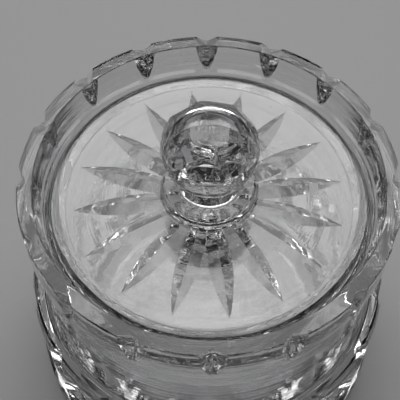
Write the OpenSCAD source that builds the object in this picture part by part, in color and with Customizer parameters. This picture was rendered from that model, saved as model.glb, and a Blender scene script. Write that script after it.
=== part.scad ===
// Cut-crystal powder jar: a thick-walled glass jar and a glass lid that drops into its collar.
// Every cut is the groove that a grinding wheel with a V edge leaves in the glass.
// Millimetres, +Z up, origin on the table under the middle of the jar.

/* [Jar] */
// Outside diameter of the notched collar
collar_d = 100; // [84:1:130]
// Height from the table to the rim
jar_h = 88; // [76:1:120]
// Height of the notched collar
collar_h = 11.5; // [9:0.5:16]
// Thickness of the rim
rim_t = 4.1; // [3.2:0.1:6]
// How far the neck is set in from the collar
neck_in = 1; // [0.4:0.1:3]
// How much further in the neck is at its waist
neck_waist = 0.5; // [0.2:0.1:2]
// Height of the cut part, from the table to the shoulder
body_h = 41; // [34:1:50]
// How far the shoulder stands out past the collar
shoulder_out = 3.6; // [2:0.1:6]
// How far the widest part of the foot stands out past the collar
foot_out = 4.8; // [3:0.1:9]
// Thickness of the glass under the powder
floor_t = 12; // [8:0.5:18]
// Radius where the well's side turns into its floor
well_round = 9; // [4:0.5:14]
// Width of the ground ring that the jar stands on
foot_ring_w = 6; // [4:0.5:9]
// Depth of the hollow inside the ground ring
foot_hollow = 0.8; // [0.4:0.1:1.6]

/* [Fit of the lid] */
// Draft of the collar's inner wall, from the rim to the seat
recess_draft = 2.1; // [0.5:0.1:3]
// Clearance between the lid's edge and the collar
lid_gap = 0.8; // [0.4:0.1:1.5]
// Width of the ledge that the lid rests on
seat_w = 4.5; // [3:0.1:6]
// Air between the lid and the ledge
seat_gap = 0.05; // [0.02:0.01:0.1]

/* [Lid] */
// Thickness of the lid
lid_t = 4.6; // [3.8:0.1:6]
// Depth of the lid's top below the rim
lid_drop = 7; // [6:0.1:10]
// Radius of the lid's rounded top edge
lid_round = 3.6; // [2:0.1:3.7]

/* [Knob] */
// Diameter of the boss under the knob
boss_d = 25; // [22:0.2:32]
// Height of the boss
boss_h = 4.3; // [3:0.1:7]
// Radius of the fillets of the boss
boss_fillet = 0.9; // [0.5:0.1:1.3]
// Diameter of the neck under the knob
neck_d = 16.5; // [14:0.1:18]
// Height from the boss to the lowest point of the ball
neck_h = 2.2; // [1.5:0.1:5]
// Radius of the ball that the knob is ground from
ball_r = 12.4; // [11:0.1:15]
// How much is ground off the top of the ball
crown_cut = 3; // [1.5:0.1:5]
// Radius of the knob's domed top
dome_r = 18; // [15:0.5:40]
// Number of facets round the knob
facets = 8; // [6:1:12]
// Depth of a facet
facet_cut = 0.95; // [0.4:0.05:1.5]
// Tilt of the facets' normals above the horizontal
facet_tilt = 35; // [25:0.5:40]
// Turn of the knob's facets, seen from above
knob_turn = -10.5; // [-22:0.5:22]

/* [Cuts] */
// Number of notches in the collar, and of leaves round the body
cuts = 16; // [12:1:20]
// Depth of a collar notch at the rim
notch_depth = 1.9; // [1:0.1:2.2]
// Length of a collar notch below the rim
notch_len = 13.2; // [8:0.1:14]
// Half of the angle between a collar notch's two sides
notch_angle = 63; // [55:1:70]
// Depth of a leaf
leaf_depth = 4.2; // [2:0.1:4.8]
// Length of a leaf, from tip to tip
leaf_len = 33; // [24:1:34]
// Half of the angle between a leaf's two sides
leaf_angle = 66; // [60:1:70]
// Depth of a small leaf, between two leaves
dart_depth = 2.4; // [1.2:0.1:3]
// Length of a small leaf, from tip to tip
dart_len = 23; // [14:1:26]
// Half of the angle between a small leaf's two sides
dart_angle = 62; // [55:1:68]
// Number of rays of the star under the lid
rays = 16; // [12:1:20]
// Depth of a ray
ray_depth = 1.75; // [1:0.05:2]
// Half of the angle between a ray's two sides
ray_angle = 60.5; // [50:0.5:62]
// Gap between the tips of the star and the well's mouth
star_inset = 2; // [0.5:0.1:4]
// Gap between the inner tips of the rays and the middle
star_hub = 4; // [4:0.5:8]
// Turn of the star, seen from above
star_turn = -15.5; // [-22:0.5:22]

/* [Hidden] */
$fn = 96;
arc_steps = 6;
edge = 0.4;                                     // the small bevels of ground edges
slack = 1;                                      // how far a cutting tool runs past the glass
skim = 0.02;                                    // how far a ray's tool stands out of the lid

collar_r = collar_d / 2;
rim_r = collar_r - rim_t;                       // inner edge of the rim
seat_r = rim_r - recess_draft;                  // collar's inner wall at the seat
lid_r = seat_r - lid_gap;
mouth_r = lid_r - seat_w;
lid_top = jar_h - lid_drop;
lid_under = lid_top - lid_t;
seat_z = lid_under - seat_gap;
neck_r = collar_r - neck_in;
neck_top = jar_h - collar_h;
shoulder_r = collar_r + shoulder_out;
foot_r = collar_r + foot_out;
shoulder_round = 2;
neck_fillet = 1.5;
foot_bevel = 4.5;                               // width and height of the bevel under the leaves
seat_fillet = 0.8;
side_top = body_h - shoulder_round;
lean = atan((foot_r - shoulder_r) / (side_top - foot_bevel));
star_r = mouth_r - star_inset;
ball_z = boss_h + neck_h + ball_r;
facet_a = ball_r - facet_cut;

// Points of an arc round [r, z], from angle a to angle b.
function arc(r, z, radius, a, b) =
    [for (i = [0 : arc_steps])
        let (t = a + (b - a) * i / arc_steps) [r + radius * cos(t), z + radius * sin(t)]];

// Radius of the body's sloping side at height z.
function side_r(z) = foot_r - (z - foot_bevel) * tan(lean);

// Radius of the wheel whose groove has this half length where it is this deep.
function wheel_r(half_len, depth) = (half_len * half_len + depth * depth) / (2 * depth);

// A grinding wheel with a V edge, standing in the XZ plane.
module wheel(radius, half_width, half_angle) {
    taper = half_width / tan(half_angle);
    for (side = [0, 1])
        mirror([0, side, 0])
            rotate([90, 0, 0])
                cylinder(h = half_width, r1 = radius, r2 = radius - taper);
}

// A wheel sunk to depth into the body's sloping side at height z.
module side_wheel(z, half_len, depth, half_angle, half_width) {
    radius = wheel_r(half_len, depth);
    translate([side_r(z), 0, z])
        rotate([0, -lean, 0])
            translate([radius - depth, 0, 0])
                wheel(radius, half_width, half_angle);
}

// Half of the outline of the jar's outside, from the middle of the base to the rim.
function outside() = concat(
    [[0, foot_hollow], [foot_r - foot_bevel - foot_ring_w - foot_hollow, foot_hollow],
     [foot_r - foot_bevel - foot_ring_w, 0], [foot_r - foot_bevel, 0], [foot_r, foot_bevel]],
    arc(shoulder_r - shoulder_round, side_top, shoulder_round, 0, 90),
    arc(neck_r + neck_fillet, body_h + neck_fillet, neck_fillet, 270, 180),
    [for (i = [1 : 2 * arc_steps - 1])
        let (t = i / (2 * arc_steps), low = body_h + neck_fillet)
            [neck_r - neck_waist * sin(180 * t), low + (neck_top - neck_in - low) * t]],
    [[neck_r, neck_top - neck_in], [collar_r, neck_top], [collar_r, jar_h - edge],
     [collar_r - edge, jar_h]]);

// Half of the outline of the jar's inside, from the rim to the middle of the floor.
function inside() = concat(
    [[rim_r + edge, jar_h], [rim_r, jar_h - edge]],
    arc(seat_r - seat_fillet, seat_z + seat_fillet, seat_fillet, 0, -90),
    [[mouth_r + edge, seat_z], [mouth_r, seat_z - edge]],
    arc(mouth_r - well_round, floor_t + well_round, well_round, 0, -90),
    [[0, floor_t]]);

module notches() {
    half_width = notch_depth * tan(notch_angle) + slack;
    radius = wheel_r(notch_len, notch_depth);
    for (i = [0 : cuts - 1])
        rotate([0, 0, 90 + 360 * i / cuts])
            translate([collar_r - notch_depth + radius, 0, jar_h])
                wheel(radius, half_width, notch_angle);
}

module leaves() {
    half_width = leaf_depth * tan(leaf_angle) + slack;
    middle = (foot_bevel + side_top) / 2;
    for (i = [0 : cuts - 1])
        rotate([0, 0, 90 + 360 * i / cuts])
            side_wheel(middle, leaf_len / 2, leaf_depth, leaf_angle, half_width);
}

// Small leaves that fill the points between the leaves, at the shoulder and at the foot.
module darts() {
    half_width = dart_depth * tan(dart_angle) + slack;
    for (i = [0 : cuts - 1], z = [foot_bevel, side_top])
        rotate([0, 0, 90 + 360 * (i + 0.5) / cuts])
            side_wheel(z, dart_len / 2, dart_depth, dart_angle, half_width);
}

module jar() {
    color("white")
        difference() {
            rotate_extrude() polygon(concat(outside(), inside()));
            notches();
            leaves();
            darts();
        }
}

// Half of the outline of the lid with its boss and neck, up into the knob.
function lid_outline() = concat(
    [[0, lid_under], [lid_r - edge, lid_under], [lid_r, lid_under + edge]],
    arc(lid_r - lid_round, lid_top - lid_round, lid_round, 0, 90),
    arc(boss_d / 2 + boss_fillet, lid_top + boss_fillet, boss_fillet, 270, 180),
    arc(boss_d / 2 - boss_fillet, lid_top + boss_h - boss_fillet, boss_fillet, 0, 90),
    arc(neck_d / 2 + boss_fillet, lid_top + boss_h + boss_fillet, boss_fillet, 270, 180),
    [[neck_d / 2, lid_top + ball_z], [0, lid_top + ball_z]]);

// The ball with its domed top and its ring of sloping facets.
module knob() {
    cutter = 4 * ball_r;
    translate([0, 0, lid_top + ball_z])
        difference() {
            intersection() {
                sphere(r = ball_r);
                translate([0, 0, ball_r - crown_cut - dome_r]) sphere(r = dome_r);
            }
            for (i = [0 : facets - 1])
                rotate([0, 0, 90 + knob_turn + 360 * i / facets])
                    rotate([0, -facet_tilt, 0])
                        translate([facet_a, -cutter / 2, -cutter / 2]) cube(cutter);
        }
}

// Each ray is the trimmed edge of a wheel, so that neighbours stay apart near the middle.
module star() {
    half_len = (star_r - star_hub) / 2;
    radius = wheel_r(half_len, ray_depth);
    half_width = (ray_depth + skim) * tan(ray_angle) + skim;
    for (i = [0 : rays - 1])
        rotate([0, 0, 90 + star_turn + 360 * i / rays])
            translate([star_r - half_len, 0, lid_under])
                intersection() {
                    translate([0, 0, ray_depth - radius]) wheel(radius, half_width, ray_angle);
                    translate([-half_len - slack, -2 * half_width, -skim])
                        cube([2 * (half_len + slack), 4 * half_width, ray_depth + slack]);
                }
}

module lid() {
    color("white")
        difference() {
            union() {
                rotate_extrude() polygon(lid_outline());
                knob();
            }
            star();
        }
}

jar();
lid();
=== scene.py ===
"""Cut-crystal powder jar: the glass jar and its lid, their finish, and a small studio round them.

Each piece is one surface of revolution, worked out as a grid of rows (along the outline) and columns
(round the axis), from which V-edged grinding wheels have taken glass away. The columns of every row
are moved so that the edges of the cuts always fall on a column, which keeps the edges crisp.
"""

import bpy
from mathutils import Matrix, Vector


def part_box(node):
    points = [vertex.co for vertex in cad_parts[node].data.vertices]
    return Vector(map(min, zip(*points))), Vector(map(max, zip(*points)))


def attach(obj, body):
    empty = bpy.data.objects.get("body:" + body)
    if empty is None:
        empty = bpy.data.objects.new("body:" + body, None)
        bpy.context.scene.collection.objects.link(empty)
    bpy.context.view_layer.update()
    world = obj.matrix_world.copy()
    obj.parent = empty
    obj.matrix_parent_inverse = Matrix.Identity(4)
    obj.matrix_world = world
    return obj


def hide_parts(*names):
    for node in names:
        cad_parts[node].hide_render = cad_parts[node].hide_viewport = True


bl_info = {
    "name": "Cut-Crystal Powder Jar",
    "version": (1, 0, 0),
    "blender": (4, 5, 0),
    "location": "View3D > Sidebar > Powder Jar",
    "description": "Makes a leaf-cut glass jar, its star-cut lid with a faceted knob, and a studio",
    "category": "Add Mesh",
}

import math

import bmesh
import bpy
import numpy as np
from mathutils import Matrix, Vector

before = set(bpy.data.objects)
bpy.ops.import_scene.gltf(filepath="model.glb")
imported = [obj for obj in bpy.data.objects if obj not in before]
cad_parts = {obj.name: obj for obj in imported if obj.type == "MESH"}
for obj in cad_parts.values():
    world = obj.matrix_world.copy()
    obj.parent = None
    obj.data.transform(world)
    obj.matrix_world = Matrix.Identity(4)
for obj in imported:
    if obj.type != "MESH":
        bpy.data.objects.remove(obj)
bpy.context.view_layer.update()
JAR_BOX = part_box("jar")
LID_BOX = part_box("lid")
JAR_H = JAR_BOX[1][2]
TOP_H = LID_BOX[1][2]

LEAF_COLUMNS = 4     # columns from the middle of a leaf or notch to its edge
LAND_COLUMNS = 5     # columns across the uncut glass between two cuts
DART_COLUMNS = 3     # columns from the edge of a small leaf to its middle
HALF_COLUMNS = LEAF_COLUMNS + LAND_COLUMNS + DART_COLUMNS
MERGE = 1e-6         # metres within which two points are one
SHARP = 12           # degrees between faces above which their edge is sharp
HALVINGS = 40        # steps in the search for the edge of a cut
NOTCH_ROWS = 0.002   # metres of the rim's top, from outside, that hold the notches
COLOUR_A = 6         # a colour mix node's first colour among its inputs
COLOUR_B = 7         # and its second colour
COLOUR_OUT = 2       # and the mixed colour among its outputs
FLOOR_REACH = 3.0    # metres from the middle of the floor to its edges


def length(name, description, value):
    """A size in metres, shown in the scene's units."""
    return bpy.props.FloatProperty(name=name, description=description, default=value,
                                   min=0, unit="LENGTH", precision=5)


def angle(name, description, degrees):
    """An angle, given in degrees and kept in radians."""
    return bpy.props.FloatProperty(name=name, description=description,
                                   default=math.radians(degrees), subtype="ANGLE")


class PowderJarBodySizes(bpy.types.PropertyGroup):
    """Sizes of the jar."""

    collar_d: length("Collar diameter", "Outside diameter of the notched collar", 0.100)
    collar_h: length("Collar height", "Height of the notched collar", 0.0115)
    rim_t: length("Rim thickness", "Thickness of the rim", 0.0041)
    neck_in: length("Neck inset", "How far the neck is set in from the collar", 0.001)
    neck_waist: length("Neck waist", "How much further in the neck is at its waist", 0.0005)
    neck_fillet: length("Neck fillet", "Radius of the fillet between shoulder and neck", 0.0015)
    body_h: length("Body height", "Height of the cut part, up to the shoulder", 0.041)
    shoulder_out: length("Shoulder", "How far the shoulder stands out past the collar", 0.0036)
    shoulder_round: length("Shoulder radius", "Radius of the shoulder's edge", 0.002)
    foot_out: length("Foot", "How far the foot stands out past the collar", 0.0048)
    foot_bevel: length("Foot bevel", "Width and height of the bevel under the leaves", 0.0045)
    foot_ring_w: length("Ground ring", "Width of the ring that the jar stands on", 0.006)
    foot_hollow: length("Foot hollow", "Depth of the hollow inside the ring", 0.0008)
    floor_t: length("Floor thickness", "Thickness of the glass under the powder", 0.012)
    well_round: length("Well radius", "Radius where the well's side meets its floor", 0.009)
    recess_draft: length("Recess draft", "How much the recess narrows to the seat", 0.0021)
    seat_gap: length("Seat gap", "Air between the lid and its ledge", 0.00005)
    edge: length("Edge", "Radius of the polished edges", 0.0004)


class PowderJarLidSizes(bpy.types.PropertyGroup):
    """Sizes of the lid and its knob."""

    lid_t: length("Thickness", "Thickness of the lid", 0.0046)
    lid_drop: length("Drop", "Depth of the lid's top below the rim", 0.007)
    lid_round: length("Edge radius", "Radius of the lid's rounded top edge", 0.0036)
    lid_gap: length("Clearance", "Clearance between the lid's edge and the collar", 0.0008)
    seat_w: length("Seat width", "Width of the ledge that the lid rests on", 0.0045)
    boss_d: length("Boss diameter", "Diameter of the boss under the knob", 0.025)
    boss_h: length("Boss height", "Height of the boss", 0.0043)
    boss_fillet: length("Boss fillet", "Radius of the fillets of the boss", 0.0009)
    neck_d: length("Knob neck", "Diameter of the neck under the knob", 0.0165)
    neck_h: length("Neck height", "Height from the boss to the ball's lowest point", 0.0022)
    ball_r: length("Ball radius", "Radius of the ball that the knob is ground from", 0.0124)
    dome_r: length("Dome radius", "Radius of the knob's domed top", 0.018)
    facets: bpy.props.IntProperty(name="Facets", description="Number of facets round the knob",
                                  default=8, min=3)
    facet_cut: length("Facet depth", "Depth of a facet", 0.00095)
    facet_tilt: angle("Facet tilt", "Tilt of the facets' normals above the horizontal", 35)
    knob_turn: angle("Knob turn", "Turn of the knob's facets", -10.5)


class PowderJarCutSizes(bpy.types.PropertyGroup):
    """Sizes of the cuts."""

    cuts: bpy.props.IntProperty(name="Cuts", description="Number of notches and of leaves",
                                default=16, min=3)
    notch_depth: length("Notch depth", "Depth of a collar notch at the rim", 0.0019)
    notch_len: length("Notch length", "Length of a collar notch below the rim", 0.0132)
    notch_angle: angle("Notch angle", "Half of the angle of a notch's V", 63)
    leaf_depth: length("Leaf depth", "Depth of a leaf", 0.0042)
    leaf_len: length("Leaf length", "Length of a leaf from tip to tip", 0.033)
    leaf_angle: angle("Leaf angle", "Half of the angle of a leaf's V", 66)
    dart_depth: length("Small leaf depth", "Depth of a small leaf", 0.0024)
    dart_len: length("Small leaf length", "Length of a small leaf from tip to tip", 0.023)
    dart_angle: angle("Small leaf angle", "Half of the angle of a small leaf's V", 62)
    ray_depth: length("Ray depth", "Depth of a ray of the star", 0.00175)
    ray_angle: angle("Ray angle", "Half of the angle of a ray's V", 60.5)
    star_inset: length("Star inset", "Gap between the star and the well's mouth", 0.002)
    star_hub: length("Star hub", "Gap between the rays' inner tips and the middle", 0.004)
    star_turn: angle("Star turn", "Turn of the star", -15.5)


class PowderJarStudioSettings(bpy.types.PropertyGroup):
    """The camera and the lights."""

    distance: length("Distance", "Distance from the lens to the middle of the rim", 0.2136)
    elevation: angle("Elevation", "Height of the camera above the rim, as an angle", 55.05)
    tilt: angle("Tilt", "Angle of the camera's axis below the horizon", 56.75)
    turn: angle("Turn", "Turn of the camera round the jar", -1.87)
    roll: angle("Roll", "Turn of the camera round its own axis", 1.16)
    lens: bpy.props.FloatProperty(name="Lens", description="Focal length in millimetres",
                                  default=73.85)
    shift: bpy.props.FloatProperty(name="Shift", description="Sideways shift of the lens",
                                   default=-0.0228)
    floor_colour: bpy.props.FloatVectorProperty(name="Floor", description="Colour of the floor",
                                                default=(0.38, 0.38, 0.385), subtype="COLOR")


def arc(r, z, radius, start, end, steps):
    """Points of an arc round (r, z): r + radius cos t, z + radius sin t, for t in even steps."""
    t = np.radians(np.linspace(start, end, steps + 1))
    return np.column_stack([r + radius * np.cos(t), z + radius * np.sin(t)])


def line(start, end, steps=1):
    """Evenly spaced points from start to end."""
    return np.linspace(start, end, steps + 1)


def joined(*stretches):
    """The stretches of an outline end to end, each shared point kept once."""
    points = np.concatenate(stretches)
    apart = np.linalg.norm(np.diff(points, axis=0), axis=1) > MERGE
    return points[np.concatenate([[True], apart])]


def side_wheel(r, z, slope, half_len, depth, half_angle):
    """A V-edged wheel sunk to depth into a side at (r, z) whose normal rises at angle slope.

    Its radius R is that of the circle with a chord of twice half_len and a height of depth.
    Gives the radius and height of its middle, R and the half angle of its edge.
    """
    radius = (half_len ** 2 + depth ** 2) / (2 * depth)
    reach = radius - depth
    return r + reach * math.cos(slope), z + reach * math.sin(slope), radius, half_angle


def ground_radius(t, z, wheels):
    """Radius at which the nearest of the wheels meets the glass, at angle t from their plane.

    A wheel is two cones base to base, so its surface is where the distance from its middle, within
    its plane, is R - |y| / tan(half angle). With x = r cos t and y = r sin t that is a quadratic in
    r, whose smaller root is the side that faces the glass.
    """
    nearest = np.full(np.broadcast(t, z).shape, np.inf)
    for centre_r, centre_z, radius, half_angle in wheels:
        k = np.abs(np.sin(t)) / math.tan(half_angle)
        a = np.cos(t) ** 2 - k ** 2
        b = centre_r * np.cos(t) - k * radius
        c = centre_r ** 2 + (z - centre_z) ** 2 - radius ** 2
        inside = b ** 2 - a * c
        root = np.where(inside > 0, (b - np.sqrt(np.maximum(inside, 0))) / a, np.inf)
        nearest = np.minimum(nearest, root)
    return nearest


def cut_edge(is_cut, count, half):
    """The angle, one per row, up to which is_cut(angle) holds, found by halving 0 to half."""
    low = np.zeros(count)
    high = np.full(count, half)
    for _ in range(HALVINGS):
        middle = (low + high) / 2
        cut = is_cut(middle)
        low = np.where(cut, middle, low)
        high = np.where(cut, high, middle)
    return (low + high) / 2


def spread(first, second, half, columns):
    """Angles of the columns of half a sector, so that two columns fall on first and second.

    columns says how many steps there are from 0 to first, on to second, and on to half. Where a
    row has no such edge (first is 0, or second is half), its columns are spaced evenly.
    """
    one, two, three = columns
    plain_first = first < MERGE
    plain_second = half - second < MERGE
    total = one + two + three
    second = np.where(plain_second & plain_first, half * (one + two) / total, second)
    second = np.where(plain_second & ~plain_first,
                      first + (half - first) * two / (two + three), second)
    first = np.where(plain_first, second * one / (one + two), first)
    steps = [first[:, None] * np.linspace(0, 1, one + 1)[:-1],
             first[:, None] + (second - first)[:, None] * np.linspace(0, 1, two + 1)[:-1],
             second[:, None] + (half - second)[:, None] * np.linspace(0, 1, three + 1)]
    return np.concatenate(steps, axis=1)


def all_round(t, values, count, turn):
    """Mirrors half a sector, repeats it count times round the axis and turns it.

    t and values are (rows, columns + 1) over half a sector, from its middle line to its edge.
    Gives the angles and the values, each (rows, 2 count columns).
    """
    sector = 2 * math.pi / count
    t = np.concatenate([t[:, :-1], sector - t[:, :0:-1]], axis=1)
    values = np.concatenate([values[:, :-1], values[:, :0:-1]], axis=1)
    starts = sector * np.arange(count) + math.pi / 2
    angles = (t[:, None, :] + starts[None, :, None]).reshape(len(t), -1)
    return angles + np.reshape(turn, (-1, 1)), np.tile(values, count)


def revolved(name, angles, r, z):
    """A closed mesh through the points (r cos angle, r sin angle, z) of a grid.

    The columns close on themselves, and the first and last rows lie on the axis, where each
    merges into one point.
    """
    rows, columns = r.shape
    points = np.stack([r * np.cos(angles), r * np.sin(angles), np.broadcast_to(z, r.shape)], axis=2)
    index = np.arange(rows * columns).reshape(rows, columns)
    beside = np.roll(index, -1, axis=1)
    quads = np.stack([index[:-1], beside[:-1], beside[1:], index[1:]], axis=2).reshape(-1, 4)
    mesh = bpy.data.meshes.new(name)
    mesh.vertices.add(rows * columns)
    mesh.vertices.foreach_set("co", points.ravel())
    mesh.loops.add(quads.size)
    mesh.loops.foreach_set("vertex_index", quads.ravel())
    mesh.polygons.add(len(quads))
    mesh.polygons.foreach_set("loop_start", np.arange(0, quads.size, 4))
    mesh.update(calc_edges=True)
    work = bmesh.new()
    work.from_mesh(mesh)
    bmesh.ops.remove_doubles(work, verts=work.verts, dist=MERGE)
    bmesh.ops.recalc_face_normals(work, faces=work.faces)
    work.to_mesh(mesh)
    work.free()
    mesh.shade_smooth()
    mesh.set_sharp_from_angle(angle=math.radians(SHARP))
    return mesh


def add_piece(name, mesh, material):
    """Puts a mesh into the scene as a piece with one material."""
    piece = bpy.data.objects.new(name, mesh)
    bpy.context.scene.collection.objects.link(piece)
    mesh.materials.append(material)
    return piece


def jar_outline(jar, lid):
    """Half of the jar's outline, from the middle of its base, up its outside and down its inside."""
    collar_r = jar.collar_d / 2
    edge = jar.edge
    rim_r = collar_r - jar.rim_t
    seat_r = rim_r - jar.recess_draft
    mouth_r = seat_r - lid.lid_gap - lid.seat_w
    seat_z = JAR_H - lid.lid_drop - lid.lid_t - jar.seat_gap
    neck_r = collar_r - jar.neck_in
    neck_top = JAR_H - jar.collar_h
    shoulder_r = collar_r + jar.shoulder_out
    foot_r = collar_r + jar.foot_out
    shoulder = jar.shoulder_round
    side_top = jar.body_h - shoulder
    fillet = jar.neck_fillet
    ring_out = foot_r - jar.foot_bevel
    ring_in = ring_out - jar.foot_ring_w
    rise = np.linspace(0, 1, 25)
    low = jar.body_h + fillet
    high = neck_top - jar.neck_in
    neck = np.column_stack([neck_r - jar.neck_waist * np.sin(math.pi * rise),
                            low + (high - low) * rise])
    deepest = collar_r - NOTCH_ROWS
    return joined(
        line((0, jar.foot_hollow), (ring_in - jar.foot_hollow, jar.foot_hollow), 12),
        line((ring_in - jar.foot_hollow, jar.foot_hollow), (ring_in, 0), 2),
        line((ring_in, 0), (ring_out, 0), 2),
        line((ring_out, 0), (foot_r, jar.foot_bevel), 8),
        line((foot_r, jar.foot_bevel), (shoulder_r, side_top), 66),
        arc(shoulder_r - shoulder, side_top, shoulder, 0, 90, 10),
        arc(neck_r + fillet, jar.body_h + fillet, fillet, 270, 180, 8),
        neck,
        line((neck_r, high), (collar_r - edge / 3, neck_top - edge / 3), 2),
        arc(collar_r - edge, neck_top + edge / 4, edge, -30, 0, 3),
        line((collar_r, neck_top + edge / 4), (collar_r, JAR_H - edge), 26),
        arc(collar_r - edge, JAR_H - edge, edge, 0, 90, 5),
        line((collar_r - edge, JAR_H), (deepest, JAR_H)),
        line((deepest, JAR_H), (rim_r + edge, JAR_H), 3),
        arc(rim_r + edge, JAR_H - edge, edge, 90, 180, 5),
        line((rim_r, JAR_H - edge), (seat_r, seat_z + 2 * edge), 12),
        arc(seat_r - 2 * edge, seat_z + 2 * edge, 2 * edge, 0, -90, 6),
        line((seat_r - 2 * edge, seat_z), (mouth_r + edge, seat_z), 3),
        arc(mouth_r + edge, seat_z - edge, edge, 90, 180, 5),
        line((mouth_r, seat_z - edge), (mouth_r, jar.floor_t + jar.well_round), 20),
        arc(mouth_r - jar.well_round, jar.floor_t + jar.well_round, jar.well_round, 0, -90, 24),
        line((mouth_r - jar.well_round, jar.floor_t), (0, jar.floor_t), 8))


def jar_wheels(jar, cuts):
    """The wheels on the middle line of a sector (notch and leaf) and on its edge (small leaves)."""
    collar_r = jar.collar_d / 2
    side_top = jar.body_h - jar.shoulder_round
    foot_r = collar_r + jar.foot_out
    shoulder_r = collar_r + jar.shoulder_out
    lean = math.atan((foot_r - shoulder_r) / (side_top - jar.foot_bevel))
    middle = (jar.foot_bevel + side_top) / 2
    notch = side_wheel(collar_r, JAR_H, 0, cuts.notch_len, cuts.notch_depth, cuts.notch_angle)
    leaf = side_wheel((foot_r + shoulder_r) / 2, middle, lean, cuts.leaf_len / 2,
                      cuts.leaf_depth, cuts.leaf_angle)
    darts = [side_wheel(r, z, lean, cuts.dart_len / 2, cuts.dart_depth, cuts.dart_angle)
             for r, z in ((foot_r, jar.foot_bevel), (shoulder_r, side_top))]
    return [notch, leaf], darts


def jar_mesh(jar, lid, cuts):
    """The jar: its outline carried round the axis, no further out than the wheels allow."""
    outline = jar_outline(jar, lid)
    r, z = outline[:, 0], outline[:, 1]
    half = math.pi / cuts.cuts
    middle_wheels, edge_wheels = jar_wheels(jar, cuts)

    def from_middle(t):
        return ground_radius(t, z, middle_wheels)

    def from_edge(t):
        return ground_radius(half - t, z, edge_wheels)

    first = cut_edge(lambda t: from_middle(t) < np.minimum(r, from_edge(t)), len(r), half)
    second = half - cut_edge(lambda t: from_edge(half - t) < np.minimum(r, from_middle(half - t)),
                             len(r), half)
    t = spread(first, np.maximum(first, second), half, (LEAF_COLUMNS, LAND_COLUMNS, DART_COLUMNS))
    cut = np.minimum(ground_radius(t, z[:, None], middle_wheels),
                     ground_radius(half - t, z[:, None], edge_wheels))
    angles, radii = all_round(t, np.minimum(r[:, None], cut), cuts.cuts, 0)
    return revolved("jar_glass", angles, radii, z[:, None])


def lid_underside(jar, lid, cuts, r, z):
    """Angles, radii and heights of the lid's flat underside, at radii r, with the star cut in.

    A ray's wheel is two cones base to base, so at (x, y) its surface is at the height
    zc + sqrt((R - |y| / tan(half angle))^2 - (x - xc)^2), where (xc, zc) is its middle.
    """
    half = math.pi / cuts.cuts
    mouth_r = jar.collar_d / 2 - jar.rim_t - jar.recess_draft - lid.lid_gap - lid.seat_w
    star_r = mouth_r - cuts.star_inset
    half_len = (star_r - cuts.star_hub) / 2
    radius = (half_len ** 2 + cuts.ray_depth ** 2) / (2 * cuts.ray_depth)
    centre_r = star_r - half_len
    centre_z = z + cuts.ray_depth - radius

    def ray_height(t, r):
        reach = radius - np.abs(r * np.sin(t)) / math.tan(cuts.ray_angle)
        rise = reach ** 2 - (r * np.cos(t) - centre_r) ** 2
        return centre_z + np.sqrt(np.maximum(rise, 0))

    first = cut_edge(lambda t: ray_height(t, r) > z + MERGE / 10, len(r), half)
    columns = (LEAF_COLUMNS, LAND_COLUMNS, DART_COLUMNS)
    t = spread(first, np.full(len(r), half), half, columns)
    heights = np.maximum(z, ray_height(t, r[:, None]))
    angles, heights = all_round(t, heights, cuts.cuts, cuts.star_turn)
    return angles, np.broadcast_to(r[:, None], angles.shape), heights


def grind_facets(mesh, lid, middle):
    """Grinds the knob's ring of flat facets, each a plane that leans back by the facet tilt.

    A facet's outward normal is (cos tilt cos a, cos tilt sin a, sin tilt), where a is its direction
    seen from above, and its plane stands the ball's radius less the facet's depth from the middle
    of the ball. The planes reach the knob only above that middle.
    """
    work = bmesh.new()
    work.from_mesh(mesh)
    for number in range(lid.facets):
        a = math.pi / 2 + lid.knob_turn + 2 * math.pi * number / lid.facets
        normal = Vector((math.cos(lid.facet_tilt) * math.cos(a),
                         math.cos(lid.facet_tilt) * math.sin(a), math.sin(lid.facet_tilt)))
        knob = [face for face in work.faces if face.calc_center_median().z > middle]
        edges = {edge for face in knob for edge in face.edges}
        corners = {corner for face in knob for corner in face.verts}
        cut = bmesh.ops.bisect_plane(
            work, geom=[*knob, *edges, *corners], dist=MERGE,
            plane_co=Vector((0, 0, middle)) + normal * (lid.ball_r - lid.facet_cut),
            plane_no=normal, clear_outer=True)
        rim = [item for item in cut["geom_cut"] if isinstance(item, bmesh.types.BMEdge)]
        bmesh.ops.edgeloop_fill(work, edges=rim)
    bmesh.ops.recalc_face_normals(work, faces=work.faces)
    work.to_mesh(mesh)
    work.free()
    mesh.shade_smooth()
    mesh.set_sharp_from_angle(angle=math.radians(SHARP))
    return mesh


def dome_ledge(ball_r, dome_r, drop):
    """Height above the ball's middle at which the ball meets a dome whose middle is drop above it.

    Points at height y on both have ball_r^2 - y^2 = dome_r^2 - (y - drop)^2.
    """
    return (ball_r ** 2 - dome_r ** 2 + drop ** 2) / (2 * drop)


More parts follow.
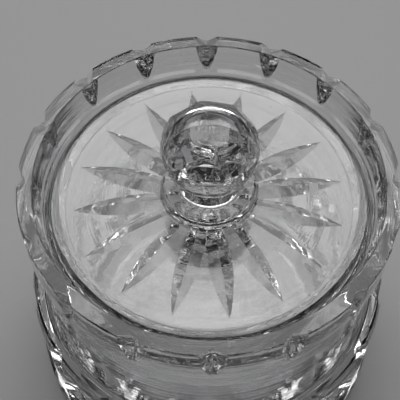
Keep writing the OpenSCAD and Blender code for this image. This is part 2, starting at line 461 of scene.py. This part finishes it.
def lid_mesh(jar, lid, cuts):
    """The lid: underside with its star, rounded edge, top, boss, neck and faceted knob."""
    edge = jar.edge
    lid_r = jar.collar_d / 2 - jar.rim_t - jar.recess_draft - lid.lid_gap
    top = JAR_H - lid.lid_drop
    under = top - lid.lid_t
    mouth_r = lid_r - lid.seat_w
    star_r = mouth_r - cuts.star_inset
    boss_r = lid.boss_d / 2
    neck_r = lid.neck_d / 2
    fillet = lid.boss_fillet
    middle = top + lid.boss_h + lid.neck_h + lid.ball_r

    ray = cuts.star_hub + (star_r - cuts.star_hub) * (1 - np.cos(np.linspace(0, math.pi, 41))) / 2
    radii = np.concatenate([np.linspace(0, cuts.star_hub, 4)[:-1], ray,
                            np.linspace(star_r, lid_r - edge, 6)[1:]])
    star = lid_underside(jar, lid, cuts, radii, under)

    turned = joined(
        arc(lid_r - edge, under + edge, edge, -90, 0, 5)[1:],
        arc(lid_r - lid.lid_round, top - lid.lid_round, lid.lid_round, 0, 90, 16),
        line((lid_r - lid.lid_round, top), (boss_r + fillet, top), 16),
        arc(boss_r + fillet, top + fillet, fillet, 270, 180, 10),
        line((boss_r, top + fillet), (boss_r, top + lid.boss_h - fillet), 3),
        arc(boss_r - fillet, top + lid.boss_h - fillet, fillet, 0, 90, 10),
        line((boss_r - fillet, top + lid.boss_h), (neck_r + fillet, top + lid.boss_h), 3),
        arc(neck_r + fillet, top + lid.boss_h + fillet, fillet, 270, 180, 10))
    start = -math.degrees(math.acos(neck_r / lid.ball_r))
    ledge = dome_ledge(lid.ball_r, lid.dome_r, TOP_H - lid.dome_r - middle)
    finish = math.degrees(math.asin(ledge / lid.ball_r))
    shoulder = math.degrees(math.acos(math.sqrt(lid.ball_r ** 2 - ledge ** 2) / lid.dome_r))
    turned = joined(
        turned,
        line((neck_r, top + lid.boss_h + fillet),
             (neck_r, middle + lid.ball_r * math.sin(math.radians(start))), 4),
        arc(0, middle, lid.ball_r, start, finish, 60),
        arc(0, TOP_H - lid.dome_r, lid.dome_r, shoulder, 90, 24))
    even = np.linspace(0, math.pi / cuts.cuts, HALF_COLUMNS + 1)
    even = np.broadcast_to(even, (len(turned), HALF_COLUMNS + 1))
    angles, turned_r = all_round(even, np.broadcast_to(turned[:, :1], even.shape), cuts.cuts,
                                 cuts.star_turn)
    plain = angles, turned_r, np.broadcast_to(turned[:, 1:], angles.shape)

    angles, radii, heights = (np.concatenate(part) for part in zip(star, plain))
    return grind_facets(revolved("lid_glass", angles, radii, heights), lid, middle)


def new_group(name, output, socket_type="NodeSocketFloat"):
    """An empty shader node group with one output. Gives its tree and the node that feeds it."""
    tree = bpy.data.node_groups.new(name, "ShaderNodeTree")
    tree.interface.new_socket(name=output, in_out="OUTPUT", socket_type=socket_type)
    return tree, tree.nodes.new("NodeGroupOutput")


def maths(tree, operation, *values, clamp=False):
    """A math node, fed with numbers and with other nodes' outputs."""
    node = tree.nodes.new("ShaderNodeMath")
    node.operation = operation
    node.use_clamp = clamp
    for socket, value in zip(node.inputs, values):
        if isinstance(value, (int, float)):
            socket.default_value = value
        else:
            tree.links.new(value, socket)
    return node.outputs["Value"]


def object_position(tree):
    """The distance from the jar's axis, the height, and the position itself."""
    position = tree.nodes.new("ShaderNodeTexCoord").outputs["Object"]
    parts = tree.nodes.new("ShaderNodeSeparateXYZ")
    tree.links.new(position, parts.inputs["Vector"])
    x, y, z = (parts.outputs[axis] for axis in "XYZ")
    across = maths(tree, "ADD", maths(tree, "MULTIPLY", x, x), maths(tree, "MULTIPLY", y, y))
    return maths(tree, "SQRT", across), z, position


def noise(tree, vector, scale, detail, distortion=0.0):
    """Noise with features about 1 / scale across."""
    node = tree.nodes.new("ShaderNodeTexNoise")
    tree.links.new(vector, node.inputs["Vector"])
    node.inputs["Scale"].default_value = scale
    node.inputs["Detail"].default_value = detail
    node.inputs["Distortion"].default_value = distortion
    return node.outputs["Fac"]


def ring_noise(tree, scale, detail):
    """Noise over the distance from the axis and the height, so that it runs round in rings."""
    radius, z, _ = object_position(tree)
    rings = tree.nodes.new("ShaderNodeCombineXYZ")
    tree.links.new(radius, rings.inputs["X"])
    tree.links.new(z, rings.inputs["Y"])
    return noise(tree, rings.outputs["Vector"], scale, detail)


def turning_marks_group():
    """Height of the rings that turning and polishing leave, wide ones and fine ones."""
    tree, out = new_group("turning_marks", "Height")
    fine = maths(tree, "MULTIPLY", ring_noise(tree, 1500, 1), 0.12)
    height = maths(tree, "ADD", ring_noise(tree, 330, 2), fine)
    tree.links.new(height, out.inputs["Height"])
    return tree


def wavy_glass_group():
    """Height of the slow waves that a hand-polished surface keeps."""
    tree, out = new_group("wavy_glass", "Height")
    _, _, position = object_position(tree)
    tree.links.new(noise(tree, position, 60, 2, 0.4), out.inputs["Height"])
    return tree


def handling_group():
    """Roughness: faint finger smears, a few dust specks, and the worn matt ring of the foot."""
    tree, out = new_group("handling", "Roughness")
    _, z, position = object_position(tree)
    smears = maths(tree, "SUBTRACT", noise(tree, position, 45, 3, 1.5), 0.54)
    smears = maths(tree, "MULTIPLY", smears, 0.35, clamp=True)
    dust = maths(tree, "SUBTRACT", noise(tree, position, 1400, 0), 0.79)
    dust = maths(tree, "MULTIPLY", dust, 4, clamp=True)
    foot = maths(tree, "LESS_THAN", z, 0.0002)
    worn = maths(tree, "MULTIPLY", foot, maths(tree, "ADD", noise(tree, position, 300, 3), 0.1))
    clean = maths(tree, "MAXIMUM", smears, dust)
    tree.links.new(maths(tree, "MAXIMUM", clean, worn), out.inputs["Roughness"])
    return tree


def tint_group():
    """Colour of the glass: almost clear, greyer in slow streaks and in the rings of its polish."""
    tree, out = new_group("lead_tint", "Color", "NodeSocketColor")
    _, _, position = object_position(tree)
    streaks = maths(tree, "MULTIPLY", noise(tree, position, 25, 2, 2.0), 0.35)
    rings = maths(tree, "SUBTRACT", ring_noise(tree, 420, 4), 0.42)
    rings = maths(tree, "MULTIPLY", rings, 4, clamp=True)
    mix = tree.nodes.new("ShaderNodeMix")
    mix.data_type = "RGBA"
    mix.inputs[COLOUR_A].default_value = (0.995, 0.995, 0.99, 1)
    mix.inputs[COLOUR_B].default_value = (0.76, 0.77, 0.78, 1)
    tree.links.new(maths(tree, "ADD", streaks, maths(tree, "MULTIPLY", rings, 0.65)),
                   mix.inputs["Factor"])
    tree.links.new(mix.outputs[COLOUR_OUT], out.inputs["Color"])
    return tree


def add_group(tree, name, make):
    """A node in tree that shows the named group, which make builds the first time."""
    node = tree.nodes.new("ShaderNodeGroup")
    node.node_tree = bpy.data.node_groups.get(name) or make()
    return node.outputs[0]


def add_bump(tree, height, distance, normal=None):
    """A bump node that raises the surface by up to distance, over an earlier normal."""
    bump = tree.nodes.new("ShaderNodeBump")
    bump.inputs["Distance"].default_value = distance
    tree.links.new(height, bump.inputs["Height"])
    if normal:
        tree.links.new(normal, bump.inputs["Normal"])
    return bump.outputs["Normal"]


def cut_crystal():
    """Clear lead crystal, turned, cut and polished, with the marks of making and handling."""
    material = bpy.data.materials.new("cut_crystal")
    material.use_nodes = True
    tree = material.node_tree
    shader = tree.nodes["Principled BSDF"]
    shader.inputs["IOR"].default_value = 1.545
    shader.inputs["Transmission Weight"].default_value = 1
    normal = add_bump(tree, add_group(tree, "wavy_glass", wavy_glass_group), 0.0001)
    normal = add_bump(tree, add_group(tree, "turning_marks", turning_marks_group), 0.00009, normal)
    tree.links.new(normal, shader.inputs["Normal"])
    tree.links.new(add_group(tree, "lead_tint", tint_group), shader.inputs["Base Color"])
    tree.links.new(add_group(tree, "handling", handling_group), shader.inputs["Roughness"])
    return material


def the_glass():
    """The crystal's material, made once."""
    return bpy.data.materials.get("cut_crystal") or cut_crystal()


class PowderJarMakeJar(bpy.types.Operator):
    """Makes the jar and lets it stand for the CAD jar"""

    bl_idname = "powder_jar.make_jar"
    bl_label = "Make the jar"

    def execute(self, context):
        scene = context.scene
        mesh = jar_mesh(scene.powder_jar_body, scene.powder_jar_lid, scene.powder_jar_cuts)
        piece = add_piece("jar_glass", mesh, the_glass())
        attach(piece, "jar")
        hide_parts("jar")
        return {"FINISHED"}


class PowderJarMakeLid(bpy.types.Operator):
    """Makes the lid and lets it stand for the CAD lid"""

    bl_idname = "powder_jar.make_lid"
    bl_label = "Make the lid"

    def execute(self, context):
        scene = context.scene
        mesh = lid_mesh(scene.powder_jar_body, scene.powder_jar_lid, scene.powder_jar_cuts)
        piece = add_piece("lid_glass", mesh, the_glass())
        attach(piece, "lid")
        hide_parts("lid")
        return {"FINISHED"}


def add_floor(colour):
    """A plain pale floor."""
    mesh = bpy.data.meshes.new("floor")
    reach = FLOOR_REACH
    corners = [(-reach, -reach, 0), (reach, -reach, 0), (reach, reach, 0), (-reach, reach, 0)]
    mesh.from_pydata(corners, [], [(0, 1, 2, 3)])
    floor = bpy.data.objects.new("floor", mesh)
    bpy.context.scene.collection.objects.link(floor)
    material = bpy.data.materials.new("floor_paint")
    material.use_nodes = True
    shader = material.node_tree.nodes["Principled BSDF"]
    shader.inputs["Base Color"].default_value = (*colour, 1)
    shader.inputs["Roughness"].default_value = 0.6
    mesh.materials.append(material)


def add_softbox(name, place, aim, size, power):
    """A rectangular lamp at place, facing aim."""
    lamp = bpy.data.lights.new(name, "AREA")
    lamp.shape = "RECTANGLE"
    lamp.size, lamp.size_y = size
    lamp.energy = power
    light = bpy.data.objects.new(name, lamp)
    place = np.array(place)
    facing = np.array(aim) - place
    light.matrix_world = (Matrix.Translation(place)
                          @ Vector(facing).to_track_quat("-Z", "Y").to_matrix().to_4x4())
    bpy.context.scene.collection.objects.link(light)
    return light


def add_camera(studio):
    """A camera above and in front of the jar."""
    lens = bpy.data.cameras.new("camera")
    lens.lens = studio.lens
    lens.shift_x = studio.shift
    camera = bpy.data.objects.new("camera", lens)
    back = studio.distance * math.cos(studio.elevation)
    up = JAR_H + studio.distance * math.sin(studio.elevation)
    camera.matrix_world = (Matrix.Rotation(studio.turn, 4, "Z")
                           @ Matrix.Translation((0, -back, up))
                           @ Matrix.Rotation(math.pi / 2 - studio.tilt, 4, "X")
                           @ Matrix.Rotation(studio.roll, 4, "Z"))
    lens.clip_start = 0.01
    bpy.context.scene.collection.objects.link(camera)
    bpy.context.scene.camera = camera


class PowderJarMakeStudio(bpy.types.Operator):
    """Makes the floor, the lights and the camera"""

    bl_idname = "powder_jar.make_studio"
    bl_label = "Make the studio"

    def execute(self, context):
        scene = context.scene
        studio = scene.powder_jar_studio
        add_floor(studio.floor_colour)
        add_softbox("overhead", (0, 0.38, 0.92), (0, 0, 0.08), (0.95, 0.8), 7)
        fill = add_softbox("ceiling", (0, 0, 1.5), (0, 0, 0), (2, 2), 5)
        fill.visible_glossy = False
        world = bpy.data.worlds.new("room")
        world.use_nodes = True
        world.node_tree.nodes["Background"].inputs["Color"].default_value = (0.02, 0.02, 0.02, 1)
        scene.world = world
        scene.view_settings.view_transform = "Standard"
        scene.cycles.caustics_refractive = True
        scene.cycles.caustics_reflective = True
        scene.cycles.max_bounces = 24
        scene.cycles.transmission_bounces = 24
        scene.cycles.glossy_bounces = 12
        add_camera(studio)
        return {"FINISHED"}


class PowderJarPanel(bpy.types.Panel):
    """Lists the jar's pieces and the studio in the sidebar"""

    bl_idname = "VIEW3D_PT_powder_jar"
    bl_label = "Powder Jar"
    bl_space_type = "VIEW_3D"
    bl_region_type = "UI"
    bl_category = "Powder Jar"

    def draw(self, context):
        scene = context.scene
        for settings in (scene.powder_jar_body, scene.powder_jar_lid, scene.powder_jar_cuts,
                         scene.powder_jar_studio):
            box = self.layout.box()
            for name in settings.__annotations__:
                box.prop(settings, name)
        for operator in OPERATORS:
            self.layout.operator(operator.bl_idname)


OPERATORS = (PowderJarMakeJar, PowderJarMakeLid, PowderJarMakeStudio)
GROUPS = {
    "powder_jar_body": PowderJarBodySizes,
    "powder_jar_lid": PowderJarLidSizes,
    "powder_jar_cuts": PowderJarCutSizes,
    "powder_jar_studio": PowderJarStudioSettings,
}


def register():
    """Registers the settings, the operators and the panel."""
    for cls in (*GROUPS.values(), *OPERATORS, PowderJarPanel):
        bpy.utils.register_class(cls)
    for name, group in GROUPS.items():
        setattr(bpy.types.Scene, name, bpy.props.PointerProperty(type=group))


def unregister():
    """Takes back what register did."""
    for name in GROUPS:
        delattr(bpy.types.Scene, name)
    for cls in (PowderJarPanel, *reversed(OPERATORS), *reversed(GROUPS.values())):
        bpy.utils.unregister_class(cls)


def main():
    """Makes everything in order."""
    register()
    bpy.ops.powder_jar.make_jar()
    bpy.ops.powder_jar.make_lid()
    bpy.ops.powder_jar.make_studio()


if __name__ == "__main__":
    main()
